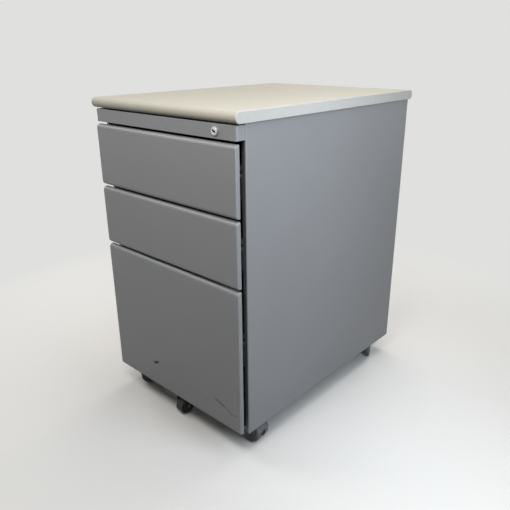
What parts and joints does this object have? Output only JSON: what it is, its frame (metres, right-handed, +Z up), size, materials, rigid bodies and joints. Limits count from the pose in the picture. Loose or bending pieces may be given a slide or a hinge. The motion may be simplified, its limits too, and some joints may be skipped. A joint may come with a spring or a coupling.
{
  "type": "rolling pedestal cabinet",
  "caption": "Steel under-desk pedestal on casters: box drawers over a file drawer with finger-grip side edges, a gang lock and a laminated top with rounded front and rear edges.",
  "frame": {"origin": "on the floor under the middle of the top board's footprint", "axes": "+Z up; -Y is the front, so the drawers open towards -Y; +X to the right as seen from the front"},
  "size_m": [0.4, 0.565, 0.663],
  "materials": {
    "silver_powder_coat": "satin, fine texture",
    "laminate_top": "pale laminate on chipboard, semi-matt",
    "edge_band": "satin",
    "lock_chrome": "polished",
    "zinc_plate": "bright zinc plate",
    "runner_steel": "zinc plate, lightly greased",
    "ball_steel": "polished",
    "caster_plastic": "moulded, satin",
    "black_nylon": "moulded, matt"
  },
  "bodies": {
    "cabinet": {"left_side_panel": "silver_powder_coat", "right_side_panel": "silver_powder_coat", "back_panel": "silver_powder_coat", "base_pan": "silver_powder_coat", "top_cross_rails": "silver_powder_coat", "runner_uprights": "silver_powder_coat", "top_board": "laminate_top", "left_edge_band": "edge_band", "right_edge_band": "edge_band", "top_screws": "zinc_plate", "lock_rail": "silver_powder_coat", "lock_housing": "lock_chrome", "lock_bar_guides": "black_nylon", "upper_cabinet_runners": "runner_steel", "middle_cabinet_runners": "runner_steel", "file_cabinet_runners": "runner_steel", "caster_plates": "zinc_plate", "caster_stems": "zinc_plate", "caster_screws": "zinc_plate"},
    "upper_drawer": {"upper_front": "silver_powder_coat", "upper_tray": "silver_powder_coat", "upper_drawer_runners": "runner_steel", "upper_lock_catch": "zinc_plate"},
    "upper_cages": {"upper_ball_cages": "ball_steel"},
    "middle_drawer": {"middle_front": "silver_powder_coat", "middle_tray": "silver_powder_coat", "middle_drawer_runners": "runner_steel", "middle_lock_catch": "zinc_plate"},
    "middle_cages": {"middle_ball_cages": "ball_steel"},
    "file_drawer": {"file_front": "silver_powder_coat", "file_tray": "silver_powder_coat", "file_drawer_runners": "runner_steel", "file_lock_catch": "zinc_plate", "file_hanger_rails": "zinc_plate", "anti_tilt_bracket": "black_nylon", "anti_tilt_axle": "zinc_plate"},
    "anti_tilt_roller": {"anti_tilt_wheel": "black_nylon"},
    "file_intermediate": {"file_middle_runners": "runner_steel"},
    "file_outer_cages": {"file_outer_ball_cages": "ball_steel"},
    "file_inner_cages": {"file_inner_ball_cages": "ball_steel"},
    "lock_core": {"lock_plug": "lock_chrome", "lock_cam": "zinc_plate"},
    "lock_bar": {"lock_bar": "zinc_plate"},
    "front_left_caster": {"front_left_caster_hood": "caster_plastic", "front_left_caster_axle": "zinc_plate"},
    "front_left_left_wheel": {"front_left_caster_left_wheel": "caster_plastic"},
    "front_left_right_wheel": {"front_left_caster_right_wheel": "caster_plastic"},
    "front_right_caster": {"front_right_caster_hood": "caster_plastic", "front_right_caster_axle": "zinc_plate"},
    "front_right_left_wheel": {"front_right_caster_left_wheel": "caster_plastic"},
    "front_right_right_wheel": {"front_right_caster_right_wheel": "caster_plastic"},
    "rear_left_caster": {"rear_left_caster_hood": "caster_plastic", "rear_left_caster_axle": "zinc_plate"},
    "rear_left_left_wheel": {"rear_left_caster_left_wheel": "caster_plastic"},
    "rear_left_right_wheel": {"rear_left_caster_right_wheel": "caster_plastic"},
    "rear_right_caster": {"rear_right_caster_hood": "caster_plastic", "rear_right_caster_axle": "zinc_plate"},
    "rear_right_left_wheel": {"rear_right_caster_left_wheel": "caster_plastic"},
    "rear_right_right_wheel": {"rear_right_caster_right_wheel": "caster_plastic"}
  },
  "joints": [
    {"name": "upper_drawer_slide", "type": "slide", "parent": "cabinet", "child": "upper_drawer", "axis": [0, -1, 0], "range_m": [0, 0.3]},
    {"name": "upper_cages_roll", "type": "slide", "parent": "cabinet", "child": "upper_cages", "axis": [0, -1, 0], "range_m": [0, 0.15]},
    {"name": "middle_drawer_slide", "type": "slide", "parent": "cabinet", "child": "middle_drawer", "axis": [0, -1, 0], "range_m": [0, 0.3]},
    {"name": "middle_cages_roll", "type": "slide", "parent": "cabinet", "child": "middle_cages", "axis": [0, -1, 0], "range_m": [0, 0.15]},
    {"name": "file_drawer_slide", "type": "slide", "parent": "cabinet", "child": "file_drawer", "axis": [0, -1, 0], "range_m": [0, 0.45]},
    {"name": "file_intermediate_slide", "type": "slide", "parent": "cabinet", "child": "file_intermediate", "axis": [0, -1, 0], "range_m": [0, 0.225]},
    {"name": "file_outer_cages_roll", "type": "slide", "parent": "cabinet", "child": "file_outer_cages", "axis": [0, -1, 0], "range_m": [0, 0.1125]},
    {"name": "file_inner_cages_roll", "type": "slide", "parent": "cabinet", "child": "file_inner_cages", "axis": [0, -1, 0], "range_m": [0, 0.3375]},
    {"name": "lock_bar_slide", "type": "slide", "parent": "cabinet", "child": "lock_bar", "axis": [0, 0, 1], "range_m": [0, 0.01131]},
    {"name": "lock_turn", "type": "hinge", "parent": "cabinet", "child": "lock_core", "pos_m": [0.149, -0.28, 0.62975], "axis": [0, -1, 0], "range_deg": [0, 90.01]},
    {"name": "anti_tilt_wheel_spin", "type": "hinge", "parent": "file_drawer", "child": "anti_tilt_roller", "pos_m": [0, -0.254, 0.0205], "axis": [1, 0, 0], "continuous": true},
    {"name": "front_left_caster_swivel", "type": "hinge", "parent": "cabinet", "child": "front_left_caster", "pos_m": [-0.156, -0.214, 0.04], "axis": [0, 0, 1], "continuous": true},
    {"name": "front_left_left_wheel_spin", "type": "hinge", "parent": "front_left_caster", "child": "front_left_left_wheel", "pos_m": [-0.164, -0.22786, 0.02], "axis": [-0.866, 0.5, 0], "continuous": true},
    {"name": "front_left_right_wheel_spin", "type": "hinge", "parent": "front_left_caster", "child": "front_left_right_wheel", "pos_m": [-0.164, -0.22786, 0.02], "axis": [-0.866, 0.5, 0], "continuous": true},
    {"name": "front_right_caster_swivel", "type": "hinge", "parent": "cabinet", "child": "front_right_caster", "pos_m": [0.156, -0.214, 0.04], "axis": [0, 0, 1], "continuous": true},
    {"name": "front_right_left_wheel_spin", "type": "hinge", "parent": "front_right_caster", "child": "front_right_left_wheel", "pos_m": [0.17194, -0.21261, 0.02], "axis": [0.0872, -0.9962, 0], "continuous": true},
    {"name": "front_right_right_wheel_spin", "type": "hinge", "parent": "front_right_caster", "child": "front_right_right_wheel", "pos_m": [0.17194, -0.21261, 0.02], "axis": [0.0872, -0.9962, 0], "continuous": true},
    {"name": "rear_left_caster_swivel", "type": "hinge", "parent": "cabinet", "child": "rear_left_caster", "pos_m": [-0.156, 0.227, 0.04], "axis": [0, 0, 1], "continuous": true},
    {"name": "rear_left_left_wheel_spin", "type": "hinge", "parent": "rear_left_caster", "child": "rear_left_left_wheel", "pos_m": [-0.16014, 0.21155, 0.02], "axis": [-0.9659, 0.2588, 0], "continuous": true},
    {"name": "rear_left_right_wheel_spin", "type": "hinge", "parent": "rear_left_caster", "child": "rear_left_right_wheel", "pos_m": [-0.16014, 0.21155, 0.02], "axis": [-0.9659, 0.2588, 0], "continuous": true},
    {"name": "rear_right_caster_swivel", "type": "hinge", "parent": "cabinet", "child": "rear_right_caster", "pos_m": [0.156, 0.227, 0.04], "axis": [0, 0, 1], "continuous": true},
    {"name": "rear_right_left_wheel_spin", "type": "hinge", "parent": "rear_right_caster", "child": "rear_right_left_wheel", "pos_m": [0.16276, 0.2125, 0.02], "axis": [-0.9063, -0.4226, 0], "continuous": true},
    {"name": "rear_right_right_wheel_spin", "type": "hinge", "parent": "rear_right_caster", "child": "rear_right_right_wheel", "pos_m": [0.16276, 0.2125, 0.02], "axis": [-0.9063, -0.4226, 0], "continuous": true}
  ],
  "couplings": [
    {"joint": "upper_cages_roll", "follows": "upper_drawer_slide", "ratio": 0.5},
    {"joint": "middle_cages_roll", "follows": "middle_drawer_slide", "ratio": 0.5},
    {"joint": "file_intermediate_slide", "follows": "file_drawer_slide", "ratio": 0.5},
    {"joint": "file_outer_cages_roll", "follows": "file_drawer_slide", "ratio": 0.25},
    {"joint": "file_inner_cages_roll", "follows": "file_drawer_slide", "ratio": 0.75},
    {"joint": "lock_turn", "follows": "lock_bar_slide", "rad_per_m": 138.84}
  ]
}
